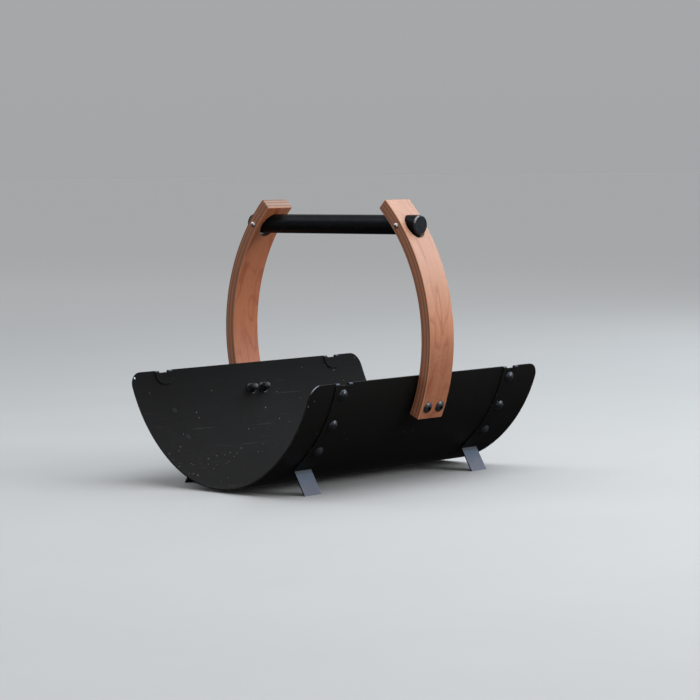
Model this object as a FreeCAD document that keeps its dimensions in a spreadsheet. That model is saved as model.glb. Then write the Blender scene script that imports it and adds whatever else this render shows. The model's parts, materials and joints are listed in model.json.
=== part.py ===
import FreeCAD, Part
import Sketcher
import math
import os

# Firewood rack: a bent sheet-steel trough on four strap legs, with two curved laminated
# arms that carry a round handle bar across the top. Millimetres, +Z up.
# X runs across the trough, in the direction of the handle bar, Y runs along the trough,
# and the origin is on the floor under the middle of the rack.
# "front" is the -Y end, "right" is the +X side.

SIZES = {
    # trough: one sheet, a flat-ish bottom arc running tangentially into two wider side arcs
    "trough_length": 515.0,
    "sheet_thick": 2.0,
    "bottom_radius": 178.0,
    "side_radius": 232.8,
    "join_angle": 32.1,
    "rim_angle": 75.25,
    "floor_gap": 4.2,
    "corner_radius": 22.0,
    # strap legs: hooked over the rim, riveted down the wall, turned out into a foot
    "strap_width": 35.0,
    "strap_thick": 2.0,
    "strap_centre": 189.0,
    "hook_drop": 3.2,
    "hook_clear": 0.3,
    "notch_clear": 1.0,
    "slot_width": 20.0,
    "slot_drop": 0.5,
    "tab_depth": 19.0,
    "tab_corner": 14.0,
    "bend_x": 108.6,
    "bend_z": 36.3,
    "bend_radius": 2.0,
    "toe_x": 130.0,
    # dome-head rivets through strap and sheet, clinched flush in the sheet
    "rivet_first": 19.0,
    "rivet_pitch": 12.35,
    "rivet_head_radius": 8.5,
    "rivet_head_height": 5.8,
    "rivet_radius": 3.0,
    "rivet_clear": 0.05,
    "clinch_depth": 1.2,
    # arms: laminated, bent to one radius, resting on the rim and bolted through the wall
    "arm_radius": 272.0,
    "arm_centre_z": 224.0,
    "arm_thick": 18.8,
    "arm_width": 55.0,
    "arm_foot_angle": 24.8,
    "arm_top_angle": 46.0,
    "arm_edge_radius": 2.0,
    "rim_touch": 0.02,
    # arm bolts, the pad behind each arm's foot, saddle washers and cap nuts
    "bolt_angle": 20.95,
    "bolt_half_spacing": 13.5,
    "bolt_radius": 4.0,
    "bolt_clear": 0.1,
    "thread_clear": 0.05,
    "bolt_length": 35.0,
    "bolt_head_radius": 8.75,
    "bolt_head_height": 4.4,
    "bolt_head_rim": 0.9,
    "bolt_socket": 5.0,
    "bolt_socket_depth": 2.8,
    "pad_half_width": 22.0,
    "pad_low_angle": 24.2,
    "pad_high_angle": 18.6,
    "washer_radius": 8.5,
    "washer_thick": 1.9,
    "nut_across": 13.0,
    "nut_hex_height": 6.5,
    "nut_dome_radius": 6.2,
    "nut_shoulder": 1.5,
    "nut_height": 15.0,
    "nut_bore_depth": 11.0,
    # handle bar: a steel tube with turned end plugs
    "bar_radius": 15.0,
    "bar_wall": 2.0,
    "bar_half_length": 180.0,
    "bar_z": 394.2,
    "bore_radius": 17.5,
    "plug_head": 3.0,
    "plug_chamfer": 2.0,
    "plug_spigot": 14.0,
    "plug_clear": 0.05,
    # lock screws that pin the bar in the arms, from the front edges
    "lock_x": 153.5,
    "lock_z": 393.2,
    "lock_radius": 2.2,
    "lock_clear": 0.05,
    "lock_length": 17.0,
    "lock_head_radius": 4.3,
    "lock_head_height": 2.3,
    "lock_head_rim": 0.4,
    "lock_socket": 2.6,
    "lock_socket_depth": 1.4,
}

# Working allowances, not sizes of the rack.
OVER = 5.0      # how far a cutting profile runs past the material
TRIM = 0.5      # extra material left where one feature finishes another
MIN_CUT = 0.01  # a cut that removes less than this, in mm3, has missed
TOUCH = 1e-6    # sketch ends closer than this are the same point

doc = FreeCAD.newDocument("log_rack")
sheet = doc.addObject("Spreadsheet::Sheet", "Dimensions")
for row, (word, value) in enumerate(SIZES.items(), start=1):
    sheet.set(f"A{row}", word)
    sheet.set(f"B{row}", str(value))
    sheet.setAlias(f"B{row}", word)
doc.recompute()


def size(word):
    return float(sheet.get(word))


# ---------------------------------------------------------------- plane geometry
# Profiles are lists of segments in a sketch plane: ("line", p, q) or
# ("arc", centre, radius, first, last), the arc running anticlockwise, in degrees.


def polar(centre, radius, angle):
    turn = math.radians(angle)
    return (centre[0] + radius * math.cos(turn), centre[1] + radius * math.sin(turn))


def mirrored(segments):
    out = []
    for kind, *rest in segments:
        if kind == "line":
            (ax, az), (bx, bz) = rest
            out.append(("line", (-ax, az), (-bx, bz)))
        else:
            (cx, cz), radius, first, last = rest
            out.append(("arc", (-cx, cz), radius, 180 - last, 180 - first))
    return out


def polygon(points):
    return [("line", points[i - 1], points[i]) for i in range(len(points))]


def hexagon(across):
    corner = across / math.sqrt(3)
    return polygon([polar((0, 0), corner, 60 * k) for k in range(6)])


def cap_arc(radius, height, base):
    """Arc from the axis point (0, base + height) out to (radius, base), as a segment."""
    ball = (radius ** 2 + height ** 2) / (2 * height)
    edge = math.degrees(math.atan2(ball - height, radius))
    return ("arc", (0, base + height - ball), ball, edge, 90)


# ---------------------------------------------------------------- document helpers


def bind(thing, prop, formula):
    """Tie a property to the sheet; words that are cell names get the sheet's prefix."""
    parts = [f"Dimensions.{w}" if w in SIZES else w for w in formula.split()]
    thing.setExpression(prop, " ".join(parts))


def origin_part(body, role):
    return next(f for f in body.Origin.OriginFeatures if f.Role == role)


def new_body(label):
    body = doc.addObject("PartDesign::Body", label)
    body.Label = label
    return body


def add_sketch(body, name, role, segments=(), circles=(), offset=None, radii=None):
    """A sketch on one of the body's origin planes.

    circles holds (centre, formula) pairs; radii maps a segment's index to its formula."""
    sketch = body.newObject("Sketcher::SketchObject", name)
    sketch.AttachmentSupport = [(origin_part(body, role), "")]
    sketch.MapMode = "FlatFace"
    if offset is not None:
        sketch.AttachmentOffset = offset
    up = FreeCAD.Vector(0, 0, 1)
    ends = []
    for index, (kind, *rest) in enumerate(segments):
        if kind == "line":
            points = [FreeCAD.Vector(*p, 0) for p in rest]
            sketch.addGeometry(Part.LineSegment(*points), False)
        else:
            centre, radius, first, last = rest
            circle = Part.Circle(FreeCAD.Vector(*centre, 0), up, radius)
            arc = Part.ArcOfCircle(circle, math.radians(first), math.radians(last))
            sketch.addGeometry(arc, False)
            points = [FreeCAD.Vector(*polar(centre, radius, a), 0) for a in (first, last)]
        ends += [(index, place, point) for place, point in zip((1, 2), points)]
    for i, (first, first_place, p) in enumerate(ends):
        for second, second_place, q in ends[i + 1:]:
            if first != second and p.distanceToPoint(q) < TOUCH:
                sketch.addConstraint(Sketcher.Constraint(
                    "Coincident", first, first_place, second, second_place))
    for index, formula in (radii or {}).items():
        drive(sketch, index, segments[index][2], formula)
    for centre, formula in circles:
        radius = sum_of(formula)
        index = sketch.addGeometry(
            Part.Circle(FreeCAD.Vector(*centre, 0), up, radius), False)
        drive(sketch, index, radius, formula)
    return sketch


def sum_of(formula):
    """Value of a sum or difference of cell words, such as 'bolt_radius + bolt_clear'."""
    total, sign = 0.0, 1
    for word in formula.split():
        if word in "+-":
            sign = 1 if word == "+" else -1
        else:
            total += sign * size(word)
    return total


def drive(sketch, index, radius, formula):
    rule = sketch.addConstraint(Sketcher.Constraint("Radius", index, radius))
    bind(sketch, f"Constraints[{rule}]", formula)


def pad(body, sketch, formula, symmetric=True):
    feature = body.newObject("PartDesign::Pad", sketch.Name + "_pad")
    feature.Profile = sketch
    feature.SideType = "Symmetric" if symmetric else "One side"
    bind(feature, "Length", formula)
    sketch.Visibility = False
    return feature


def pocket(body, sketch, length=None, side="Symmetric", reverse=False, taper=0.0):
    """Cut the sketch out of the body; no length means through everything."""
    doc.recompute()
    before = body.Shape.Volume
    feature = body.newObject("PartDesign::Pocket", sketch.Name + "_cut")
    feature.Profile = sketch
    feature.SideType = side
    feature.Reversed = reverse
    if length is None:
        feature.Type = "ThroughAll"
    else:
        feature.Type = "Length"
        bind(feature, "Length", length)
    feature.TaperAngle = taper
    doc.recompute()
    if before - body.Shape.Volume < MIN_CUT:
        raise RuntimeError(f"{feature.Name} in {body.Label} removes nothing")
    return feature


def revolve(body, sketch, axis="V_Axis"):
    feature = body.newObject("PartDesign::Revolution", sketch.Name + "_turn")
    feature.Profile = sketch
    feature.ReferenceAxis = (sketch, [axis])
    feature.Angle = 360
    return feature


def facing(point, direction):
    """Placement that stands a part's own +Z axis along direction, at point."""
    turn = FreeCAD.Rotation(FreeCAD.Vector(0, 0, 1), FreeCAD.Vector(*direction))
    return FreeCAD.Placement(FreeCAD.Vector(*point), turn)


def wall_plane(side, point, below):
    """Offset from the YZ plane to a plane square to a direction 'below' the horizontal."""
    turn = FreeCAD.Rotation(FreeCAD.Vector(1, 0, 0), side * below)
    return FreeCAD.Placement(FreeCAD.Vector(0, point[1], side * point[0]), turn)


# ---------------------------------------------------------------- shared geometry
# Everything below is for the right side; the left side is its mirror image.

SIDES = {"right": 1, "left": -1}
ENDS = {"front": -1, "back": 1}

spread = size("side_radius") - size("bottom_radius")
join = math.radians(size("join_angle"))
bottom_centre = (0.0, size("floor_gap") + size("bottom_radius"))
wall_centre = (-spread * math.sin(join), bottom_centre[1] + spread * math.cos(join))
wall_outer = size("side_radius")
wall_inner = wall_outer - size("sheet_thick")
wall_middle = wall_outer - size("sheet_thick") / 2
rim_below = 90 - size("rim_angle")
rim_outer = polar(wall_centre, wall_outer, -rim_below)
rim_inner = polar(wall_centre, wall_inner, -rim_below)

hook_below = rim_below + math.degrees(size("hook_drop") / wall_middle)
hook_centre = polar(wall_centre, wall_middle, -hook_below)
rivet_angles = [size("rivet_first") + k * size("rivet_pitch") for k in range(3)]

# The arm's inner face rests on the rim's outer corner.
reach = size("arm_radius") - size("rim_touch")
arm_centre_z = size("arm_centre_z")
arm_centre = (rim_outer[0] - math.sqrt(reach ** 2 - (rim_outer[1] - arm_centre_z) ** 2),
              arm_centre_z)
arm_outer = size("arm_radius") + size("arm_thick")


def wall_distance(radius, below):
    """Distance from the arm's centre to the wall of that radius, along a direction."""
    dx, dz = arm_centre[0] - wall_centre[0], arm_centre[1] - wall_centre[1]
    along = polar((0, 0), 1, -below)
    middle = dx * along[0] + dz * along[1]
    return -middle + math.sqrt(middle ** 2 - dx ** 2 - dz ** 2 + radius ** 2)


# ---------------------------------------------------------------- trough


def make_trough():
    body = new_body("trough_shell")
    flat = 90 - size("join_angle")
    lip = [("arc", wall_centre, wall_outer, -flat, -rim_below),
           ("arc", wall_centre, wall_inner, -flat, -rim_below),
           ("line", rim_outer, rim_inner)]
    floor = [("arc", bottom_centre, size("bottom_radius") - inset, flat - 180, -flat)
             for inset in (0, size("sheet_thick"))]
    section = add_sketch(body, "trough_section", "XZ_Plane", lip + mirrored(lip) + floor,
                         radii={0: "side_radius", 3: "side_radius", 6: "bottom_radius",
                                1: "side_radius - sheet_thick",
                                4: "side_radius - sheet_thick",
                                7: "bottom_radius - sheet_thick"})
    pad(body, section, "trough_length")

    # rounded corners of the sheet at both ends of both rims
    half, radius = size("trough_length") / 2, size("corner_radius")
    top = rim_inner[1]
    corner = [("arc", (half - radius, top - radius), radius, 0, 90),
              ("line", (half, top - radius), (half + OVER, top - radius)),
              ("line", (half + OVER, top - radius), (half + OVER, top + OVER)),
              ("line", (half + OVER, top + OVER), (half - radius, top + OVER)),
              ("line", (half - radius, top + OVER), (half - radius, top))]
    pocket(body, add_sketch(body, "corners", "YZ_Plane", corner + mirrored(corner),
                            radii={0: "corner_radius", 5: "corner_radius"}))

    # notches in the rims that the strap hooks sit in
    wide = size("strap_width") / 2 + size("notch_clear")
    low, mid = hook_centre[1] - size("hook_clear"), size("strap_centre")
    notch = polygon([(mid - wide, low), (mid + wide, low),
                     (mid + wide, top + OVER), (mid - wide, top + OVER)])
    pocket(body, add_sketch(body, "notches", "YZ_Plane", notch + mirrored(notch)))

    # rivet holes, countersunk on the inside, and the arm bolts' holes, then mirrored
    cuts = []
    for number, below in enumerate(rivet_angles, start=1):
        plane = wall_plane(1, polar(wall_centre, wall_inner + size("clinch_depth"), -below),
                           below)
        circles = [((end * mid, 0), "rivet_radius + rivet_clear") for end in ENDS.values()]
        holes = add_sketch(body, f"rivet_holes_{number}", "YZ_Plane", circles=circles,
                           offset=plane)
        cuts.append(pocket(body, holes, "sheet_thick * 2"))
        sink = add_sketch(body, f"rivet_sinks_{number}", "YZ_Plane", circles=circles,
                          offset=plane)
        cuts.append(pocket(body, sink, "clinch_depth + rivet_clear * 4", "One side",
                           taper=45.0))
    below = size("bolt_angle")
    middle = polar(arm_centre, wall_distance(wall_middle, below), -below)
    circles = [((end * size("bolt_half_spacing"), 0), "bolt_radius + bolt_clear")
               for end in ENDS.values()]
    bolts = add_sketch(body, "bolt_holes", "YZ_Plane", circles=circles,
                       offset=wall_plane(1, middle, below))
    cuts.append(pocket(body, bolts, "sheet_thick * 4"))
    before = body.Shape.Volume
    mirror = body.newObject("PartDesign::Mirrored", "left_holes")
    mirror.Originals = cuts
    mirror.MirrorPlane = (origin_part(body, "YZ_Plane"), [""])
    body.Tip = mirror
    doc.recompute()
    if before - body.Shape.Volume < MIN_CUT:
        raise RuntimeError("the mirrored holes are missing")
    return body


# ---------------------------------------------------------------- strap legs


def strap_section():
    """Strap seen end on: tab inside the rim, hook, run down the wall, bend and foot."""
    thick, half_sheet = size("strap_thick"), size("sheet_thick") / 2
    inner, outer = wall_outer, wall_outer + thick
    tab_end = hook_below + math.degrees((size("tab_depth") + TRIM) / wall_inner)

    bend = (size("bend_x"), size("bend_z"))
    toe = (size("toe_x"), 0.0)
    away = math.dist(bend, wall_centre)
    bend_below = math.degrees(math.atan2(wall_centre[1] - bend[1], bend[0] - wall_centre[0]))
    leave = bend_below - math.degrees(math.acos(outer / away))
    down = polar((0, 0), 1, -90 - leave)
    out = ((toe[0] - bend[0]) / math.dist(bend, toe), (toe[1] - bend[1]) / math.dist(bend, toe))
    turn = math.acos(down[0] * out[0] + down[1] * out[1])
    radius = size("bend_radius")
    back = radius * math.tan(turn / 2)
    centre = (bend[0] - back * down[0] - radius * down[1],
              bend[1] - back * down[1] + radius * down[0])
    first = 180 - leave
    last = first + math.degrees(turn)
    heel = (toe[0] - thick / abs(out[1]), 0.0)
    return [
        ("arc", wall_centre, outer, -leave, -hook_below),
        ("arc", wall_centre, inner, -leave, -hook_below),
        ("arc", hook_centre, half_sheet, -hook_below, 180 - hook_below),
        ("arc", hook_centre, half_sheet + thick, -hook_below, 180 - hook_below),
        ("arc", wall_centre, wall_inner, -tab_end, -hook_below),
        ("arc", wall_centre, wall_inner - thick, -tab_end, -hook_below),
        ("line", polar(wall_centre, wall_inner, -tab_end),
         polar(wall_centre, wall_inner - thick, -tab_end)),
        ("line", polar(wall_centre, outer, -leave), polar(centre, radius, first)),
        ("arc", centre, radius, first, last),
        ("line", polar(centre, radius, last), toe),
        ("line", toe, heel),
        ("line", heel, polar(centre, radius + thick, last)),
        ("arc", centre, radius + thick, first, last),
        ("line", polar(centre, radius + thick, first), polar(wall_centre, inner, -leave)),
    ]


def tab_waste(half_width, depth):
    """What is trimmed off around the tab's rounded end, in the plane of the wall."""
    radius, end = size("tab_corner"), -depth / 2
    flat, high = half_width - radius, end + radius
    wide, low = half_width + OVER, end - OVER
    return [("arc", (-flat, high), radius, 180, 270), ("line", (-flat, end), (flat, end)),
            ("arc", (flat, high), radius, 270, 360),
            ("line", (half_width, high), (wide, high)), ("line", (wide, high), (wide, low)),
            ("line", (wide, low), (-wide, low)), ("line", (-wide, low), (-wide, high)),
            ("line", (-wide, high), (-half_width, high))]


def make_strap(end_name, side_name):
    side = SIDES[side_name]
    body = new_body(f"leg_strap_{end_name}_{side_name}")
    section = strap_section() if side > 0 else mirrored(strap_section())
    profile = add_sketch(body, "strap_section", "XZ_Plane", section,
                         radii={0: "side_radius + strap_thick", 8: "bend_radius",
                                12: "bend_radius + strap_thick"})
    pad(body, profile, "strap_width")

    depth = size("tab_depth")
    below = hook_below + math.degrees(depth / 2 / wall_middle)
    waste = add_sketch(body, "tab_waste", "YZ_Plane",
                       tab_waste(size("strap_width") / 2, depth),
                       offset=wall_plane(side, polar(wall_centre, wall_middle, -below), below))
    pocket(body, waste, side="One side", reverse=side < 0)

    # slot along the hook's bend, which leaves an ear at each side
    half, low = size("slot_width") / 2, hook_centre[1] - size("slot_drop")
    high = hook_centre[1] + size("sheet_thick") + size("strap_thick") + OVER
    slot = polygon([(-half, low), (half, low), (half, high), (-half, high)])
    pocket(body, add_sketch(body, "bend_slot", "YZ_Plane", slot))

    middle = wall_outer + size("strap_thick") / 2
    for number, below in enumerate(rivet_angles, start=1):
        hole = add_sketch(body, f"rivet_hole_{number}", "YZ_Plane",
                          circles=[((0, 0), "rivet_radius + rivet_clear")],
                          offset=wall_plane(side, polar(wall_centre, middle, -below), below))
        pocket(body, hole, "strap_thick + sheet_thick")
    shift = "strap_centre" if ENDS[end_name] > 0 else "0 - strap_centre"
    bind(body, "Placement.Base.y", shift)
    return body


def make_rivet(label, end, side, below):
    """Dome-head rivet: head on the strap, tail clinched flush in the sheet's countersink."""
    body = new_body(label)
    radius, head = size("rivet_radius"), size("rivet_head_radius")
    tail = -size("strap_thick") - size("sheet_thick")
    neck, flare = tail + size("clinch_depth"), radius + size("clinch_depth")
    dome = cap_arc(head, size("rivet_head_height"), 0)
    outline = [dome, ("line", (head, 0), (radius, 0)), ("line", (radius, 0), (radius, neck)),
               ("line", (radius, neck), (flare, tail)), ("line", (flare, tail), (0, tail)),
               ("line", (0, tail), (0, size("rivet_head_height")))]
    revolve(body, add_sketch(body, "rivet_half", "XZ_Plane", outline))
    x, z = polar(wall_centre, wall_outer + size("strap_thick"), -below)
    along = polar((0, 0), 1, -below)
    body.Placement = facing((side * x, end * size("strap_centre"), z),
                            (side * along[0], 0, along[1]))
    return body


# ---------------------------------------------------------------- arms and their fixings


def make_arm(side_name):
    side = SIDES[side_name]
    body = new_body(f"arm_{side_name}")
    inner, low, high = size("arm_radius"), -size("arm_foot_angle"), size("arm_top_angle")
    sector = [("arc", arm_centre, arm_outer, low, high),
              ("arc", arm_centre, inner, low, high),
              ("line", polar(arm_centre, inner, low), polar(arm_centre, arm_outer, low)),
              ("line", polar(arm_centre, inner, high), polar(arm_centre, arm_outer, high))]
    if side < 0:
        sector = mirrored(sector)
    profile = add_sketch(body, "arm_section", "XZ_Plane", sector,
                         radii={0: "arm_radius + arm_thick", 1: "arm_radius"})
    blank = pad(body, profile, "arm_width")
    doc.recompute()

    eased = body.newObject("PartDesign::Fillet", "eased_edges")
    eased.Base = (blank, [f"Edge{k}" for k in range(1, len(blank.Shape.Edges) + 1)])
    bind(eased, "Radius", "arm_edge_radius")

    bore_z = size("bar_z") + size("bar_radius") - size("bore_radius") + size("rim_touch")
    pocket(body, add_sketch(body, "bar_bore", "YZ_Plane",
                            circles=[((0, bore_z), "bore_radius")]))
    below = size("bolt_angle")
    half = size("bolt_half_spacing")
    middle = polar(arm_centre, inner + size("arm_thick") / 2, -below)
    pocket(body, add_sketch(body, "bolt_holes", "YZ_Plane",
                            circles=[((-half, 0), "bolt_radius + bolt_clear"),
                                     ((half, 0), "bolt_radius + bolt_clear")],
                            offset=wall_plane(side, middle, below)), "arm_thick * 2")
    pocket(body, add_sketch(body, "lock_hole", "XZ_Plane",
                            circles=[((side * size("lock_x"), size("lock_z")),
                                      "lock_radius + lock_clear")]),
           side="One side", reverse=True)
    return body


def make_pad(side_name):
    """Rubber pad that fills the wedge between the arm's foot and the wall."""
    side = SIDES[side_name]
    body = new_body(f"arm_pad_{side_name}")
    ends = [size("pad_low_angle"), size("pad_high_angle")]
    on_arm = [polar(arm_centre, size("arm_radius"), -a) for a in ends]
    on_wall = [polar(arm_centre, wall_distance(wall_outer, a), -a) for a in ends]
    turns = [math.degrees(math.atan2(p[1] - wall_centre[1], p[0] - wall_centre[0]))
             for p in on_wall]
    wedge = [("arc", arm_centre, size("arm_radius"), -ends[0], -ends[1]),
             ("arc", wall_centre, wall_outer, turns[0], turns[1]),
             ("line", on_arm[0], on_wall[0]), ("line", on_arm[1], on_wall[1])]
    profile = add_sketch(body, "pad_section", "XZ_Plane",
                         wedge if side > 0 else mirrored(wedge),
                         radii={0: "arm_radius", 1: "side_radius"})
    pad(body, profile, "pad_half_width * 2")
    below, half = size("bolt_angle"), size("bolt_half_spacing")
    middle = polar(arm_centre, size("arm_radius"), -below)
    pocket(body, add_sketch(body, "bolt_holes", "YZ_Plane",
                            circles=[((-half, 0), "bolt_radius + bolt_clear"),
                                     ((half, 0), "bolt_radius + bolt_clear")],
                            offset=wall_plane(side, middle, below)), "arm_thick * 2")
    return body


def bolt_placement(side, end, distance, inward=False):
    """On an arm bolt's axis, at a distance from the arm's centre of curvature."""
    x, z = polar(arm_centre, distance, -size("bolt_angle"))
    along = polar((0, 0), -1 if inward else 1, -size("bolt_angle"))
    return facing((side * x, end * size("bolt_half_spacing"), z),
                  (side * along[0], 0, along[1]))


def make_screw(label, words, placement):
    """Button-head socket screw with its head on its own +Z side; words prefix its cells."""
    body = new_body(label)
    radius, length = size(words + "_radius"), size(words + "_length")
    head, height, rim = (size(f"{words}_head_{w}") for w in ("radius", "height", "rim"))
    outline = [cap_arc(head, height - rim, rim),
               ("line", (head, rim), (head, 0)), ("line", (head, 0), (radius, 0)),
               ("line", (radius, 0), (radius, -length)),
               ("line", (radius, -length), (0, -length)), ("line", (0, -length), (0, height))]
    revolve(body, add_sketch(body, "screw_half", "XZ_Plane", outline))
    socket = add_sketch(body, "socket", "XY_Plane", hexagon(size(words + "_socket")),
                        offset=FreeCAD.Placement(FreeCAD.Vector(0, 0, height),
                                                 FreeCAD.Rotation()))
    pocket(body, socket, words + "_socket_depth", side="One side")
    body.Placement = placement
    return body


def make_washer(label, side, end):
    """Saddle washer: flat towards the nut, faced to the wall's curve on the other side."""
    flat = wall_distance(wall_inner, size("bolt_angle")) - size("washer_thick")
    tools = {}
    for name, formula, height in (("blank", "washer_radius", "washer_thick * 3"),
                                  ("bore", "bolt_radius + bolt_clear", "washer_thick * 4")):
        tool = doc.addObject("Part::Cylinder", f"{label}_{name}")
        bind(tool, "Radius", formula)
        bind(tool, "Height", height)
        tool.Placement = bolt_placement(side, end, flat - (name == "bore"))
        tools[name] = tool
    core = doc.addObject("Part::Cylinder", f"{label}_core")
    bind(core, "Radius", "side_radius - sheet_thick")
    bind(core, "Height", "arm_width * 2")
    core.Placement = facing((side * wall_centre[0], -size("arm_width"), wall_centre[1]),
                            (0, 1, 0))
    saddle = doc.addObject("Part::Common", f"{label}_saddle")
    saddle.Base, saddle.Tool = tools["blank"], core
    washer = doc.addObject("Part::Cut", label)
    washer.Base, washer.Tool = saddle, tools["bore"]
    washer.Label = label
    return washer


def make_nut(label, side, end):
    """Cap nut, domed away from the wall, with a blind bore for the bolt's end."""
    body = new_body(label)
    pad(body, add_sketch(body, "nut_hex", "XY_Plane", hexagon(size("nut_across"))),
        "nut_hex_height", symmetric=False)
    radius, base, top = size("nut_dome_radius"), size("nut_hex_height"), size("nut_height")
    shoulder = base + size("nut_shoulder")
    dome = [cap_arc(radius, top - shoulder, shoulder),
            ("line", (radius, shoulder), (radius, base - TRIM)),
            ("line", (radius, base - TRIM), (0, base - TRIM)),
            ("line", (0, base - TRIM), (0, top))]
    revolve(body, add_sketch(body, "nut_dome", "XZ_Plane", dome))
    bore = add_sketch(body, "nut_bore", "XY_Plane",
                      circles=[((0, 0), "bolt_radius + thread_clear")])
    pocket(body, bore, "nut_bore_depth", side="One side", reverse=True)
    flat = wall_distance(wall_inner, size("bolt_angle")) - size("washer_thick")
    body.Placement = bolt_placement(side, end, flat, inward=True)
    return body


# ---------------------------------------------------------------- handle bar


def make_tube():
    body = new_body("handle_tube")
    rings = add_sketch(body, "tube_section", "YZ_Plane",
                       circles=[((0, 0), "bar_radius"), ((0, 0), "bar_radius - bar_wall")])
    pad(body, rings, "bar_half_length * 2 - plug_head * 2")
    drop = size("lock_z") - size("bar_z")
    circles = [((side * size("lock_x"), drop), "lock_radius + lock_clear")
               for side in SIDES.values()]
    pocket(body, add_sketch(body, "lock_holes", "XZ_Plane", circles=circles),
           side="One side", reverse=True)
    bind(body, "Placement.Base.z", "bar_z")
    return body


def make_plug(side_name):
    """End plug: chamfered head as wide as the tube, spigot pushed into its bore."""
    side = SIDES[side_name]
    body = new_body(f"handle_plug_{side_name}")
    radius, head, bevel = size("bar_radius"), size("plug_head"), size("plug_chamfer")
    spigot = radius - size("bar_wall") - size("plug_clear")
    outline = polygon([(0, head), (radius - bevel, head), (radius, head - bevel), (radius, 0),
                       (spigot, 0), (spigot, -size("plug_spigot")),
                       (0, -size("plug_spigot"))])
    revolve(body, add_sketch(body, "plug_half", "XZ_Plane", outline))
    end = size("bar_half_length") - head
    body.Placement = facing((side * end, 0, size("bar_z")), (side, 0, 0))
    return body


# ---------------------------------------------------------------- assembly

pieces = [make_trough(), make_tube()]
for side_name, side in SIDES.items():
    pieces += [make_arm(side_name), make_pad(side_name), make_plug(side_name)]
    front_edge = (side * size("lock_x"), -size("arm_width") / 2, size("lock_z"))
    pieces.append(make_screw(f"lock_screw_{side_name}", "lock", facing(front_edge, (0, -1, 0))))
    for end_name, end in ENDS.items():
        pieces.append(make_strap(end_name, side_name))
        where = f"{end_name}_{side_name}"
        for number, below in enumerate(rivet_angles, start=1):
            pieces.append(make_rivet(f"rivet_{where}_{number}", end, side, below))
        pieces.append(make_screw(f"arm_bolt_{where}", "bolt",
                                 bolt_placement(side, end, arm_outer)))
        pieces.append(make_washer(f"saddle_washer_{where}", side, end))
        pieces.append(make_nut(f"cap_nut_{where}", side, end))
doc.recompute()

for item in doc.Objects:
    if "Invalid" in item.State or "Error" in item.State:
        raise RuntimeError(f"{item.Name} failed: {item.State}")
for piece in pieces:
    if piece.Shape.isNull() or not piece.Shape.isValid() or len(piece.Shape.Solids) != 1:
        raise RuntimeError(f"{piece.Label} is not one valid solid")

os.makedirs("parts", exist_ok=True)
for piece in pieces:
    piece.Shape.exportStep(f"parts/{piece.Label}.step")
box = Part.Compound([piece.Shape for piece in pieces]).optimalBoundingBox()
print(f"{len(pieces)} pieces, {box.XLength:.1f} x {box.YLength:.1f} x {box.ZLength:.1f} mm")
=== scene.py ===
"""Looks for the firewood rack: a black sheet-steel trough, laminated arms and a round bar.

Metres, in the CAD model's own frame: +Z up, X across the trough, Y along it, -Y the front.
"""
import json
import math
import bpy
from mathutils import Matrix, Vector


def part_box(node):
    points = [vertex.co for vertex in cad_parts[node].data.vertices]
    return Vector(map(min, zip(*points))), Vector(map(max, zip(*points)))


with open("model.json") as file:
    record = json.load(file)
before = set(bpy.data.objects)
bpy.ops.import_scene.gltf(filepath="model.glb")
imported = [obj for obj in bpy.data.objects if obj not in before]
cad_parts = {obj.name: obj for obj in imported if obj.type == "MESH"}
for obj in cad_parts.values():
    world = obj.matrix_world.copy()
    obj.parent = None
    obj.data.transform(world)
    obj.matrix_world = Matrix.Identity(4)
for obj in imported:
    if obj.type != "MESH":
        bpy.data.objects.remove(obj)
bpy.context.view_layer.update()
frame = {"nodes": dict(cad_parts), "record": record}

MM = 0.001

# ---------------------------------------------------------------- where the looks sit

TROUGH_AXIS_Z = 200.0 * MM                # what faces this line is inside the trough
ARM_INNER, ARM_THICK = 272.0 * MM, 18.8 * MM       # inner radius and thickness
ARM_AXIS_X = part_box("arm_right")[1].x - ARM_INNER - ARM_THICK
ARM_AXIS_Z = 224.0 * MM
PLIES, CROSSED_PLIES = 11, (2, 6, 9)      # counted from the arm's inner face
BAR_BORE = 17.5 * MM                      # radius, like the two screw sockets' below
BORE_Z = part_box("handle_tube")[1].z - BAR_BORE     # the bar touches the tops of its bores
BOLT_TILT, BOLT_ROW, BOLT_SOCKET = math.radians(20.95), 13.5 * MM, 3.0 * MM
LOCK_LOW, LOCK_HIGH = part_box("lock_screw_right")
LOCK_AXIS, LOCK_SOCKET = (LOCK_LOW + LOCK_HIGH) / 2, 1.95 * MM
FOOT_TOP = 36.0 * MM                      # the bends of the straps, where the feet begin
FOLD_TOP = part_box("leg_strap_front_right")[1].z
CORNER_CHIP = (-0.1918, -0.2504, 0.1616)  # on the trough's rounded front left corner

# ---------------------------------------------------------------- colours, linear RGB

STEEL_DARK, STEEL_LIGHT = (0.0042, 0.0039, 0.0036), (0.0077, 0.0070, 0.0065)
# painted shade, multiplied in where the steel faces the middle of the trough
INSIDE_SHADE = (0.55, 0.58, 0.62)
DUST, SAWDUST = (0.34, 0.31, 0.28), (0.62, 0.55, 0.46)
SCUFF_MARK, THIN_COAT = (0.30, 0.29, 0.28), (0.26, 0.26, 0.27)
# painted sky sheen on the straps' feet with painted shade under their bends; painted highlight on
# the folds; painted shade on the cut sides
FOOT_BEND_SHADE, FOOT_SHEEN_HIGH, FOOT_SHEEN_LOW = (0.070, 0.082, 0.094), (0.098, 0.124, 0.176), (0.128, 0.136, 0.176)
FOLD_SHEEN, STRAP_SIDE_SHADE = (0.155, 0.182, 0.245), (0.0012, 0.0012, 0.0012)
# the first is a painted highlight on the trough's front right corner; the bare chip is wear
CORNER_HIGHLIGHT, BARE_CHIP = (0.44, 0.48, 0.56), (0.62, 0.64, 0.70)
# painted highlight on the upper front of the plug's chamfer
PLUG_CHAMFER_HIGHLIGHT = (0.42, 0.38, 0.37)
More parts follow.
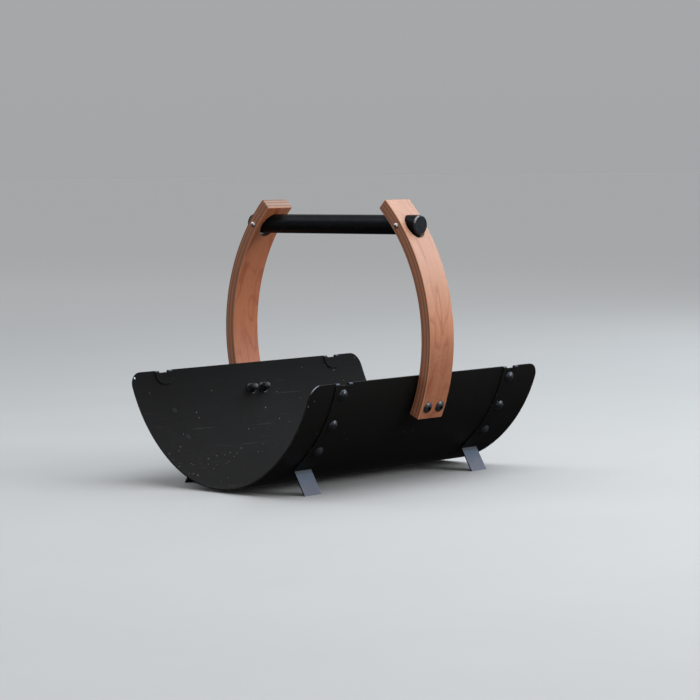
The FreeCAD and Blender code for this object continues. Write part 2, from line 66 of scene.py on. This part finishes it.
# the second is painted shade, inside the trough and low down
SATIN_SPECK, SATIN_SHADE = (0.40, 0.38, 0.36), (0.30, 0.30, 0.28)
SATIN_REFLECTION = (0.78, 0.88, 1.0, 1.0)
# painted shade inside the screws' hexagon sockets
SOCKET_SHADE = (0.004, 0.004, 0.004)
RUBBER_DARK, RUBBER_BLOOM = (0.016, 0.016, 0.017), (0.036, 0.035, 0.034)
FLOOR_DARK, FLOOR_LIGHT, FLOOR_AWAY = (0.46, 0.46, 0.455), (0.50, 0.50, 0.495), (0.80, 0.80, 0.80)

VENEER, VENEER_DEEP = (0.478, 0.196, 0.096), (0.405, 0.150, 0.067)
# painted sheen, paler and pinker toward the arms' tops
VENEER_TOP_SHEEN = (0.425, 0.228, 0.142)
# the second is painted shade for the face toward the other arm
VENEER_FOOT, VENEER_INNER_SHADE = (0.245, 0.070, 0.024), (0.425, 0.118, 0.038)
FLAME_TINT, MOTTLE_TINT = (0.74, 0.53, 0.40), (0.80, 0.70, 0.62)
FIBRE_TINT, GRIT_TINT = (0.74, 0.62, 0.52), (0.45, 0.36, 0.30)
PLY_DEEP, PLY_PALE, PLY_FIBRE = (0.300, 0.094, 0.034), (0.415, 0.138, 0.052), (0.165, 0.064, 0.034)
PLY_CROSSED, GLUE = (0.088, 0.050, 0.033), (0.060, 0.034, 0.024)
SAWN, SAWN_CROSSED = (0.330, 0.215, 0.150), (0.140, 0.095, 0.070)
# painted highlight along the rounded arrises
ARRIS_HIGHLIGHT = (0.640, 0.300, 0.150)
RAW_WOOD, RAW_WOOD_DEEP = (0.80, 0.58, 0.40), (0.66, 0.45, 0.29)
# painted shade deep in the bar's bore
BORE_SHADE = (0.012, 0.010, 0.009)

# ---------------------------------------------------------------- node helper


class Graph:
    """Small helper that builds one material's nodes; values are sockets or numbers."""

    def __init__(self, name):
        self.material = bpy.data.materials.new(name)
        self.material.use_nodes = True
        self.tree = self.material.node_tree
        self.tree.nodes.clear()
        out = self.node("ShaderNodeOutputMaterial")
        self.shader = self.node("ShaderNodeBsdfPrincipled")
        self.tree.links.new(self.shader.outputs[0], out.inputs["Surface"])

    def node(self, kind, **settings):
        made = self.tree.nodes.new(kind)
        for key, value in settings.items():
            setattr(made, key, value)
        return made

    def put(self, socket, value):
        if isinstance(value, bpy.types.NodeSocket):
            self.tree.links.new(value, socket)
        else:
            socket.default_value = value

    def math(self, operation, *values):
        made = self.node("ShaderNodeMath", operation=operation)
        for socket, value in zip(made.inputs, values):
            self.put(socket, value)
        return made.outputs[0]

    def times(self, first, *others):
        for other in others:
            first = self.math("MULTIPLY", first, other)
        return first

    def plus(self, first, *others):
        for other in others:
            first = self.math("ADD", first, other)
        return first

    def minus(self, a, b):
        return self.math("SUBTRACT", a, b)

    def absolute(self, value):
        return self.math("ABSOLUTE", value)

    def length(self, a, b):
        return self.math("SQRT", self.plus(self.times(a, a), self.times(b, b)))

    def vector_math(self, operation, *values):
        made = self.node("ShaderNodeVectorMath", operation=operation)
        for socket, value in zip(made.inputs, values):
            self.put(socket, value)
        return made.outputs["Value" if operation in ("DOT_PRODUCT", "LENGTH") else "Vector"]

    def position(self):
        return self.node("ShaderNodeTexCoord").outputs["Object"]

    def normal(self):
        return self.node("ShaderNodeNewGeometry").outputs["Normal"]

    def split(self, vector):
        made = self.node("ShaderNodeSeparateXYZ")
        self.put(made.inputs[0], vector)
        return made.outputs[0], made.outputs[1], made.outputs[2]

    def join(self, x, y, z):
        made = self.node("ShaderNodeCombineXYZ")
        for socket, value in zip(made.inputs, (x, y, z)):
            self.put(socket, value)
        return made.outputs[0]

    def stretch(self, vector, scale):
        return self.vector_math("MULTIPLY", vector, scale)

    def noise(self, vector, scale=1.0, detail=3.0, rough=0.5, distortion=0.0):
        made = self.node("ShaderNodeTexNoise")
        self.put(made.inputs["Vector"], vector)
        self.put(made.inputs["Scale"], scale)
        self.put(made.inputs["Detail"], detail)
        self.put(made.inputs["Roughness"], rough)
        self.put(made.inputs["Distortion"], distortion)
        return made.outputs["Fac"]

    def cells(self, vector, scale):
        """Distance to the nearest scattered point, and that point's own random number."""
        made = self.node("ShaderNodeTexVoronoi")
        self.put(made.inputs["Vector"], vector)
        self.put(made.inputs["Scale"], scale)
        shade = self.node("ShaderNodeSeparateColor")
        self.put(shade.inputs[0], made.outputs["Color"])
        return made.outputs["Distance"], shade.outputs[0]

    def ramp(self, value, low, high, to_low=0.0, to_high=1.0):
        """Smooth step from to_low at low to to_high at high; low may be above high."""
        made = self.node("ShaderNodeMapRange", interpolation_type="SMOOTHSTEP")
        for socket, v in zip(made.inputs, (value, low, high, to_low, to_high)):
            self.put(socket, v)
        return made.outputs[0]

    def mix(self, factor, first, second):
        made = self.node("ShaderNodeMix", data_type="RGBA")
        self.put(made.inputs["Factor"], factor)
        for socket, colour in ((made.inputs[6], first), (made.inputs[7], second)):
            self.put(socket, colour if isinstance(colour, bpy.types.NodeSocket)
                     else (*colour, 1.0))
        return made.outputs[2]

    def darken(self, colour, factor, tint):
        return self.mix(factor, colour, self.vector_math("MULTIPLY", colour, tint))

    def bump(self, height, distance, strength=1.0, over=None):
        made = self.node("ShaderNodeBump")
        self.put(made.inputs["Strength"], strength)
        self.put(made.inputs["Distance"], distance)
        self.put(made.inputs["Height"], height)
        if over is not None:
            self.put(made.inputs["Normal"], over)
        return made.outputs[0]

    def facing_middle(self, position):
        """1 on what faces the middle of the trough, 0 on what faces away from it."""
        x, _, z = self.split(position)
        inward = self.vector_math("DOT_PRODUCT", self.normal(),
                                  self.join(x, 0.0, self.minus(z, TROUGH_AXIS_Z)))
        return self.ramp(inward, 0.0, -0.02)

    def finish(self, colour, roughness, normal, **constants):
        """Fill the shader; what is the same all over is set on its own socket."""
        self.put(self.shader.inputs["Base Color"], colour)
        self.put(self.shader.inputs["Roughness"], roughness)
        self.put(self.shader.inputs["Normal"], normal)
        for key, value in constants.items():
            self.shader.inputs[key.replace("_", " ")].default_value = value
        return self.material


# ---------------------------------------------------------------- materials


def strap_painted_light(g, colour, position, normal):
    """Painted sky sheen on the foot, painted shade under its bend and on the cut sides, a painted
    highlight on the fold over the rim.

    Also returns where the painted sheen lies on the foot, from 0 to 1."""
    z = g.split(position)[2]
    up = g.split(normal)[2]
    # painted sky sheen on what faces up on the foot
    foot = g.times(g.ramp(z, FOOT_TOP + 0.4 * MM, FOOT_TOP - 1.0 * MM), g.ramp(up, 0.25, 0.45))
    patchy = g.ramp(g.noise(position, 75.0, 4.0, 0.7), 0.30, 0.70, 0.84, 1.0)
    below = g.minus(FOOT_TOP, z)
    sheen = g.mix(g.ramp(below, 6.0 * MM, 30.0 * MM), FOOT_SHEEN_HIGH, FOOT_SHEEN_LOW)
    # painted shade just under the bend
    sheen = g.mix(g.ramp(below, 7.0 * MM, 3.0 * MM), sheen, FOOT_BEND_SHADE)
    colour = g.mix(g.times(foot, patchy), colour, sheen)
    # painted highlight on the fold over the rim
    fold = g.times(g.ramp(z, FOLD_TOP - 2.6 * MM, FOLD_TOP - 0.8 * MM),
                   g.times(g.ramp(up, 0.15, 0.5), patchy))
    colour = g.mix(g.times(fold, 0.62), colour, FOLD_SHEEN)
    # painted shade on the cut sides
    side = g.ramp(g.absolute(g.split(normal)[1]), 0.6, 0.9)
    return g.mix(side, colour, STRAP_SIDE_SHADE), foot


def corner_highlight_and_chip(g, colour, position, normal):
    """A painted highlight along the edge of the trough's front right corner; the front left one
    chipped.
    """
    x, y, _ = g.split(position)
    slant = g.absolute(g.split(normal)[1])
    corner = g.times(g.ramp(slant, 0.12, 0.36), g.ramp(slant, 0.94, 0.66),
                     g.ramp(g.split(normal)[2], 0.05, 0.35))
    # painted highlight along the upward-facing edge of the front right corner
    painted_highlight = g.times(corner, g.ramp(g.minus(x, y), 0.25, 0.42))
    colour = g.mix(g.times(painted_highlight, 0.8), colour, CORNER_HIGHLIGHT)
    from_chip = g.vector_math("LENGTH", g.vector_math("SUBTRACT", position, CORNER_CHIP))
    return g.mix(g.ramp(from_chip, 2.0 * MM, 1.3 * MM), colour, BARE_CHIP), 0.0


def powder_coat(name, painted_light_and_wear, scuffs=1.0):
    """Fine-textured black powder coat with dust, rubbed edges, log scuffs and painted shade inside.

    The second argument is one of the two functions above, which paint sheen, highlights and shade,
    and a chip; scuffs is how strongly the logs have marked it."""
    g = Graph(name)
    p = g.position()
    _, y, z = g.split(p)
    normal = g.normal()
    up = g.split(normal)[2]
    inside = g.facing_middle(p)

    # the side that faces the middle of the trough is scuffed along its length by logs
    lines = g.noise(g.stretch(p, (260.0, 5.0, 260.0)), 1.0, 5.0, 0.65, 0.4)
    patches = g.noise(p, 14.0, 3.0, 0.6)
    scuff = g.times(g.ramp(lines, 0.60, 0.74), g.ramp(patches, 0.42, 0.66))
    scuff = g.times(scuff, g.times(inside, scuffs))

    # settled dust: a faint film on what faces up
    film = g.times(g.ramp(up, 0.2, 1.0), g.ramp(g.noise(p, 85.0, 6.0, 0.75), 0.2, 0.9))

    # sawdust: a few pale specks anywhere, more inside, most low down near the open ends
    litter = g.times(g.ramp(g.noise(p, 16.0, 3.0, 0.6), 0.45, 0.75),
                     g.ramp(z, 0.11, 0.02, 0.35, 1.0))
    ends = g.times(g.ramp(g.absolute(y), 0.13, 0.24), g.ramp(z, 0.075, 0.02))
    litter = g.times(g.plus(litter, ends), inside)
    spot, chance = g.cells(p, 360.0)
    rare = g.minus(0.9965, g.times(litter, 0.065))
    speck = g.times(g.ramp(spot, 0.30, 0.14), g.math("GREATER_THAN", chance, rare),
                    g.ramp(g.noise(p, 420.0, 2.0), 0.3, 0.7, 0.25, 1.0))

    # edges rubbed thin, where the coat is smoother and paler
    rounded = g.node("ShaderNodeBevel", samples=4)
    rounded.inputs["Radius"].default_value = 0.7 * MM
    sharpness = g.vector_math("DOT_PRODUCT", normal, rounded.outputs[0])
    edge = g.times(g.ramp(sharpness, 0.985, 0.80),
                   g.ramp(g.noise(p, 120.0, 4.0, 0.7), 0.35, 0.62))

    cloud = g.noise(p, 9.0, 4.0, 0.6)
    # painted shade: what faces the middle of the trough is darkened and slightly blued
    colour = g.darken(g.mix(cloud, STEEL_DARK, STEEL_LIGHT), inside, INSIDE_SHADE)
    # painted sheen, highlights and shade, and a bare chip
    colour, foot_sheen = painted_light_and_wear(g, colour, p, normal)
    for amount, strength, shade in ((film, 0.032, DUST), (scuff, 0.16, SCUFF_MARK),
                                    (edge, 0.22, THIN_COAT), (speck, 0.75, SAWDUST)):
        colour = g.mix(g.times(amount, strength), colour, shade)

    rough = g.plus(g.times(cloud, 0.14), 0.46, g.times(film, 0.12))
    rough = g.minus(g.minus(rough, g.times(edge, 0.08)), g.times(foot_sheen, 0.12))
    rough = g.plus(rough, g.times(inside, 0.22))

    texture = g.plus(g.noise(p, 900.0, 2.0, 0.5), g.times(g.noise(p, 330.0, 2.0, 0.5), 1.5))
    relief = g.bump(scuff, 0.03 * MM, 0.6, g.bump(texture, 0.05 * MM, 0.7))
    return g.finish(colour, rough, relief, Specular_IOR_Level=0.11)


def laminated_wood(name):
    """Bent plywood: oiled reddish veneer on the faces, plies and glue lines on the edges."""
    g = Graph(name)
    x, y, z = g.split(g.position())
    dx = g.minus(g.absolute(x), ARM_AXIS_X)
    dz = g.minus(z, ARM_AXIS_Z)
    depth = g.minus(g.length(dx, dz), ARM_INNER)
    along = g.times(g.math("ARCTAN2", dz, dx), ARM_INNER + ARM_THICK / 2)
    # each arm, and each of its two faces, is cut from another part of the veneer
    cut_from = g.plus(g.times(g.math("SIGN", x), 0.31),
                      g.times(g.math("GREATER_THAN", depth, ARM_THICK / 2), 0.17))
    across = g.plus(y, cut_from)
    wood = g.join(along, across, depth)

    # plies, counted through the thickness; the crossed ones show dark end grain
    wander = g.noise(g.stretch(wood, (14.0, 30.0, 0.0)), 1.0, 2.0)
    count = g.plus(g.math("DIVIDE", depth, ARM_THICK / PLIES),
                   g.times(g.minus(wander, 0.5), 0.22))
    ply = g.math("FLOOR", count)
    part = g.math("FRACT", count)
    gap = g.math("MINIMUM", part, g.minus(1.0, part))
    tone = g.node("ShaderNodeTexWhiteNoise", noise_dimensions="1D")
    g.put(tone.inputs["W"], g.plus(ply, 17.0))
    crossed = 0.0
    for number in CROSSED_PLIES:
        away = g.absolute(g.minus(count, number + 0.5))
        crossed = g.plus(crossed, g.ramp(away, 0.62, 0.40))
    inside = g.times(g.ramp(count, 0.3, 0.6), g.ramp(count, PLIES - 0.3, PLIES - 0.6))
    glue = g.times(g.ramp(gap, 0.15, 0.04), inside)

    # faces: flame figure of sliced veneer, as the contours of a slow drift along the arm
    drift = g.noise(g.join(g.times(along, 5.5), g.times(across, 24.0), cut_from),
                    1.0, 2.0, 0.45, 0.35)
    ring = g.math("FRACT", g.times(drift, 7.0))
    flame = g.times(g.ramp(ring, 0.62, 0.92), g.ramp(ring, 1.0, 0.94))
    fleck = g.noise(g.stretch(wood, (5.0, 38.0, 0.0)), 1.0, 3.0, 0.5, 0.6)
    flame = g.times(flame, g.ramp(fleck, 0.34, 0.62, 0.45, 1.0))
    fibre = g.noise(g.stretch(wood, (26.0, 950.0, 950.0)), 1.0, 4.0, 0.6, 0.2)
    mottle = g.noise(g.stretch(wood, (60.0, 160.0, 0.0)), 1.0, 3.0, 0.6)
    pores, pore_chance = g.cells(g.stretch(wood, (130.0, 1500.0, 1500.0)), 1.0)
    pore = g.times(g.ramp(pores, 0.34, 0.12), g.ramp(pore_chance, 0.62, 0.80))

    normal = g.normal()
    outward = g.vector_math("NORMALIZE", g.join(g.times(dx, g.math("SIGN", x)), 0.0, dz))
    radial = g.vector_math("DOT_PRODUCT", normal, outward)
    facing = g.absolute(radial)
    inner_face_shade = g.ramp(radial, -0.4, -0.8)       # painted shade: the face toward the other arm is darker and redder
    foot = g.ramp(dz, 40.0 * MM, -45.0 * MM)
    colour = g.mix(g.ramp(fleck, 0.30, 0.72), VENEER, VENEER_DEEP)
    # painted sheen: paler and pinker toward the top of the arm
    colour = g.mix(g.ramp(dz, 0.0, 130.0 * MM, 0.0, 0.60), colour, VENEER_TOP_SHEEN)
    colour = g.mix(g.times(foot, 0.62), colour, VENEER_FOOT)
    # painted shade on the face toward the other arm
    colour = g.mix(g.times(inner_face_shade, 0.72), colour, VENEER_INNER_SHADE)
    colour = g.darken(colour, g.times(flame, 0.75), FLAME_TINT)
    colour = g.darken(colour, g.times(g.ramp(mottle, 0.45, 0.75), 0.25), MOTTLE_TINT)
    colour = g.darken(colour, g.times(g.ramp(fibre, 0.42, 0.68), 0.22), FIBRE_TINT)
    grit = g.ramp(g.noise(g.stretch(wood, (260.0, 460.0, 0.0)), 1.0, 3.0, 0.75), 0.50, 0.66)
    grit = g.times(grit, g.ramp(foot, 0.3, 1.0, 0.18, 0.60))
    colour = g.darken(colour, g.plus(grit, g.times(pore, 0.30)), GRIT_TINT)

    # the cut edges drink more oil: darker, and each ply its own shade
    cut = g.ramp(facing, 0.86, 0.55)
    end_grain = g.noise(g.stretch(wood, (900.0, 900.0, 260.0)), 1.0, 3.0, 0.6)
    edge = g.mix(tone.outputs["Value"], PLY_DEEP, PLY_PALE)
    edge = g.mix(g.times(g.ramp(fibre, 0.40, 0.66), 0.28), edge, PLY_FIBRE)
    edge = g.mix(g.times(crossed, g.ramp(end_grain, 0.3, 0.7, 0.72, 0.95)), edge, PLY_CROSSED)
    edge = g.mix(g.times(glue, 0.60), edge, GLUE)
    sawn = g.times(g.ramp(g.absolute(g.split(normal)[1]), 0.7, 0.4), cut)
    edge = g.mix(g.times(sawn, 0.60), edge, g.mix(crossed, SAWN, SAWN_CROSSED))
    colour = g.mix(cut, colour, edge)
    # painted highlight along the rounded arris between face and edge
    arris_highlight = g.times(g.ramp(facing, 0.45, 0.75), g.ramp(facing, 0.985, 0.90))
    colour = g.mix(g.times(arris_highlight, 0.45), colour, ARRIS_HIGHLIGHT)

    # the bore for the bar is bare wood outside, with painted shade farther in
    bore = g.ramp(g.length(y, g.minus(z, BORE_Z)), BAR_BORE + 0.25 * MM, BAR_BORE)
    bare_and_shaded = g.mix(fibre, RAW_WOOD, RAW_WOOD_DEEP)
    bare_and_shaded = g.mix(g.ramp(depth, 0.85 * ARM_THICK, 0.55 * ARM_THICK), bare_and_shaded, BORE_SHADE)
    colour = g.mix(bore, colour, bare_and_shaded)

    rough = g.plus(g.times(fibre, 0.14), 0.40, g.times(cut, 0.14))
    grooves = g.bump(g.times(glue, cut), -0.12 * MM, 0.7)
    relief = g.bump(g.minus(g.times(fibre, 0.5), pore), 0.05 * MM, 0.5, grooves)
    return g.finish(colour, rough, relief, Specular_IOR_Level=0.65)


def satin_black(name, dark, light, base_rough, specular, grain=(260.0, 260.0, 260.0),
                dull_inside=0.0, chamfer_highlight=0.0):
    """Smooth black coat: faint directional grain, handling marks and cloudy gloss.

    dull_inside is how much rougher it is where it faces the middle of the trough, and partly
    where it is near the ground; painted shade darkens it there too. The last argument is how
    strongly a highlight is painted on the upper front of the chamfer on an end."""
    g = Graph(name)
    p = g.position()
    cloud = g.noise(p, 26.0, 4.0, 0.6)
    streak = g.noise(g.stretch(p, grain), 1.0, 3.0, 0.6)
    smear = g.noise(p, 60.0, 5.0, 0.7, 0.6)
    spot, chance = g.cells(p, 420.0)
    speck = g.times(g.ramp(spot, 0.22, 0.10), g.ramp(chance, 0.93, 0.96))
    colour = g.mix(cloud, dark, light)
    colour = g.mix(g.times(g.ramp(streak, 0.45, 0.75), 0.25), colour,
                   tuple(2.2 * channel for channel in light))
    colour = g.mix(g.times(speck, 0.30), colour, SATIN_SPECK)
    rough = g.plus(g.times(g.ramp(smear, 0.35, 0.7), 0.14), base_rough)
    # painted highlight on the upper front of the chamfer
    if chamfer_highlight:
        nx, ny, nz = g.split(g.normal())
        nx = g.absolute(nx)
        chamfer = g.times(g.ramp(nx, 0.97, 0.88), g.ramp(nx, 0.35, 0.55))
        upper_front = g.ramp(g.minus(nz, ny), 0.80, 0.96, 0.04, 1.0)
        painted_highlight = g.times(chamfer, upper_front, g.ramp(smear, 0.25, 0.55, 0.4, 1.0))
        colour = g.mix(g.times(painted_highlight, chamfer_highlight), colour, PLUG_CHAMFER_HIGHLIGHT)
    if dull_inside:
        # rougher, and darker as painted shade, where it faces the middle of the trough and low down
        low_down = g.ramp(g.split(p)[2], 110.0 * MM, 70.0 * MM)
        dull_and_shade = g.math("MAXIMUM", g.facing_middle(p), g.times(low_down, 0.75))
        rough = g.plus(rough, g.times(dull_and_shade, dull_inside))
        colour = g.darken(colour, dull_and_shade, SATIN_SHADE)
    return g.finish(colour, rough, g.bump(streak, 0.03 * MM, 0.5),
                    Specular_IOR_Level=specular, Specular_Tint=SATIN_REFLECTION)


def metal(name, dark, light, base_rough, metallic=1.0, socket=None):
    """Blackened or plated steel with fine pitting and slight discolouration.

    socket is (axis x, axis z, tilt below the horizontal, row of y or None, radius): the
    screws' hexagon sockets, with shade painted inside."""
    g = Graph(name)
    p = g.position()
    pit = g.noise(p, 1400.0, 3.0, 0.6)
    colour = g.mix(g.ramp(g.noise(p, 160.0, 4.0, 0.6), 0.3, 0.7), dark, light)
    if socket is not None:
        axis_x, axis_z, tilt, row, radius = socket
        x, y, z = g.split(p)
        right = g.minus(g.absolute(x), axis_x)
        rise = g.minus(z, axis_z)
        if row is None:
            off_axis = g.length(right, rise)
        else:
            square = g.plus(g.times(right, math.sin(tilt)), g.times(rise, math.cos(tilt)))
            off_axis = g.length(square, g.minus(g.absolute(y), row))
        # painted shade inside the hexagon socket
        colour = g.mix(g.ramp(off_axis, radius, radius - 0.3 * MM), colour, SOCKET_SHADE)
    rough = g.plus(g.times(g.ramp(pit, 0.3, 0.7), 0.14), base_rough)
    return g.finish(colour, rough, g.bump(pit, 0.02 * MM, 0.6), Metallic=metallic)


def rubber(name):
    """Matte moulded rubber with a slight bloom."""
    g = Graph(name)
    p = g.position()
    bloom = g.ramp(g.noise(p, 90.0, 4.0, 0.6), 0.35, 0.75)
    colour = g.mix(bloom, RUBBER_DARK, RUBBER_BLOOM)
    rough = g.plus(g.times(bloom, 0.12), 0.72)
    return g.finish(colour, rough, g.bump(g.noise(p, 1200.0, 2.0, 0.5), 0.04 * MM, 0.6))


BOLT_SOCKETS = (ARM_AXIS_X, ARM_AXIS_Z, BOLT_TILT, BOLT_ROW, BOLT_SOCKET)
LOCK_SOCKETS = (LOCK_AXIS.x, LOCK_AXIS.z, 0.0, None, LOCK_SOCKET)

strap_coat = powder_coat("powder_coat_strap", strap_painted_light, scuffs=0.3)
MATERIALS = {
    "powder_coat_black": powder_coat("powder_coat_black", corner_highlight_and_chip),
    "rivet_black": satin_black("rivet_black", (0.005, 0.005, 0.006), (0.010, 0.010, 0.012),
                               base_rough=0.24, specular=0.7, dull_inside=0.74),
    "laminated_wood": laminated_wood("laminated_wood"),
    "rubber_black": rubber("rubber_black"),
    "bolt_black": metal("bolt_black", (0.050, 0.052, 0.056), (0.105, 0.108, 0.115),
                        base_rough=0.24, metallic=0.8, socket=BOLT_SOCKETS),
    "nut_black": metal("nut_black", (0.035, 0.036, 0.038), (0.070, 0.071, 0.075),
                       base_rough=0.38, metallic=0.8),
    "handle_black": satin_black("handle_black", (0.0030, 0.0030, 0.0032),
                                (0.0046, 0.0046, 0.0050), base_rough=0.28, specular=0.065,
                                grain=(30.0, 420.0, 420.0)),
    "plug_black": satin_black("plug_black", (0.006, 0.007, 0.009), (0.010, 0.011, 0.014),
                              base_rough=0.26, specular=0.24, grain=(900.0, 140.0, 140.0),
                              chamfer_highlight=0.75),
    "zinc": metal("zinc", (0.55, 0.55, 0.55), (0.76, 0.76, 0.75), base_rough=0.26,
                  socket=LOCK_SOCKETS),
}

slots = {part["node"]: part["material_slot"] for part in frame["record"]["subparts"]}
for node, thing in frame["nodes"].items():
    strap = node.startswith("leg_strap")
    thing.data.materials.clear()
    thing.data.materials.append(strap_coat if strap else MATERIALS[slots[node]])

# ---------------------------------------------------------------- floor, light and camera

FLOOR_HALF = 150.0
FLOOR_NEAR, FLOOR_FAR = 1.2, 7.0          # the floor turns paler between these two radii

# name, place, aim, size, watts, colour
LIGHTS = (
    ("back_sky", (0.8, 2.9, 2.6), (0.0, 0.0, 0.2), (3.8, 2.4), 95.0, (0.82, 0.91, 1.0)),
    ("left_sky", (-2.1, -1.1, 2.3), (0.0, 0.0, 0.3), (1.6, 1.6), 17.0, (0.82, 0.91, 1.0)),
    ("overhead", (0.7, -0.2, 2.6), (0.0, 0.0, 0.2), (2.2, 2.2), 30.0, (0.95, 0.975, 1.0)),
    ("right_sky", (2.9, 1.2, 1.5), (0.0, 0.0, 0.25), (1.8, 1.6), 54.0, (0.97, 0.98, 1.0)),
    ("front_fill", (1.2, -2.8, 1.3), (0.0, 0.0, 0.2), (1.6, 1.2), 6.0, (1.0, 0.98, 0.95)),
)

# the surround's strength is the sum of two ramps: height from, height to, strength from, to
SKY_STEP, SKY_RISE = (-0.35, -0.06, 0.03, 0.385), (0.0, 1.0, 0.0, 0.14)
SKY_COLOUR = (0.97, 0.985, 1.0, 1.0)

CAMERA_AZIMUTH, CAMERA_ELEVATION, CAMERA_ROLL = 43.36, 4.23, -0.70   # degrees
CAMERA_DISTANCE = 3.806
CAMERA_TARGET = Vector((0.01755, 0.01257, 0.1977))
CAMERA_LENS, CAMERA_SENSOR = 125.42, 36.0                            # millimetres


def make_floor():
    """Pale, plain floor, darker round the rack than far off."""
    half = FLOOR_HALF
    mesh = bpy.data.meshes.new("floor")
    mesh.from_pydata([(-half, -half, 0), (half, -half, 0), (half, half, 0), (-half, half, 0)],
                     [], [(0, 1, 2, 3)])
    floor = bpy.data.objects.new("floor", mesh)
    bpy.context.scene.collection.objects.link(floor)
    g = Graph("floor_pale")
    p = g.position()
    x, y, _ = g.split(p)
    colour = g.mix(g.noise(p, 3.0, 4.0, 0.6), FLOOR_DARK, FLOOR_LIGHT)
    colour = g.mix(g.ramp(g.length(x, y), FLOOR_NEAR, FLOOR_FAR), colour, FLOOR_AWAY)
    mesh.materials.append(g.finish(colour, 0.75, g.bump(g.noise(p, 260.0, 3.0, 0.6),
                                                        0.05 * MM, 0.5)))
    floor.visible_glossy = False      # so the black underside reflects the dark ground


def make_light(name, place, aim, size, power, colour):
    lamp = bpy.data.lights.new(name, "AREA")
    lamp.shape = "RECTANGLE"
    lamp.size, lamp.size_y = size
    lamp.energy = power
    lamp.color = colour
    thing = bpy.data.objects.new(name, lamp)
    thing.location = place
    thing.rotation_euler = (Vector(aim) - Vector(place)).to_track_quat("-Z", "Y").to_euler()
    bpy.context.scene.collection.objects.link(thing)


def make_world():
    """A soft, even surround: brighter overhead, dark where the floor hides it."""
    world = bpy.data.worlds.new("studio")
    world.use_nodes = True
    tree = world.node_tree
    where = tree.nodes.new("ShaderNodeTexCoord")
    axes = tree.nodes.new("ShaderNodeSeparateXYZ")
    tree.links.new(where.outputs["Generated"], axes.inputs[0])
    total = tree.nodes.new("ShaderNodeMath")
    for index, span in enumerate((SKY_STEP, SKY_RISE)):
        blend = tree.nodes.new("ShaderNodeMapRange")
        for socket, value in zip(list(blend.inputs)[1:], span):
            socket.default_value = value
        tree.links.new(axes.outputs["Z"], blend.inputs["Value"])
        tree.links.new(blend.outputs[0], total.inputs[index])
    back = tree.nodes["Background"]
    back.inputs["Color"].default_value = SKY_COLOUR
    tree.links.new(total.outputs[0], back.inputs["Strength"])
    bpy.context.scene.world = world


def make_camera():
    """The photo's camera: azimuth from the front, toward +X, then elevation and roll."""
    azimuth, elevation, roll = (math.radians(a) for a in
                                (CAMERA_AZIMUTH, CAMERA_ELEVATION, CAMERA_ROLL))
    back = Vector((math.sin(azimuth) * math.cos(elevation),
                   -math.cos(azimuth) * math.cos(elevation), math.sin(elevation)))
    level = Vector((math.cos(azimuth), math.sin(azimuth), 0.0))
    rise = back.cross(level)
    right = level * math.cos(roll) + rise * math.sin(roll)
    top = rise * math.cos(roll) - level * math.sin(roll)
    lens = bpy.data.cameras.new("camera")
    lens.lens, lens.sensor_width = CAMERA_LENS, CAMERA_SENSOR
    lens.clip_start, lens.clip_end = 0.05, 500.0
    camera = bpy.data.objects.new("camera", lens)
    turn = Matrix((right, top, back)).transposed().to_4x4()
    camera.matrix_world = Matrix.Translation(CAMERA_TARGET + back * CAMERA_DISTANCE) @ turn
    bpy.context.scene.collection.objects.link(camera)
    bpy.context.scene.camera = camera


make_floor()
make_world()
for light in LIGHTS:
    make_light(*light)
make_camera()
bpy.context.scene.view_settings.view_transform = "Standard"
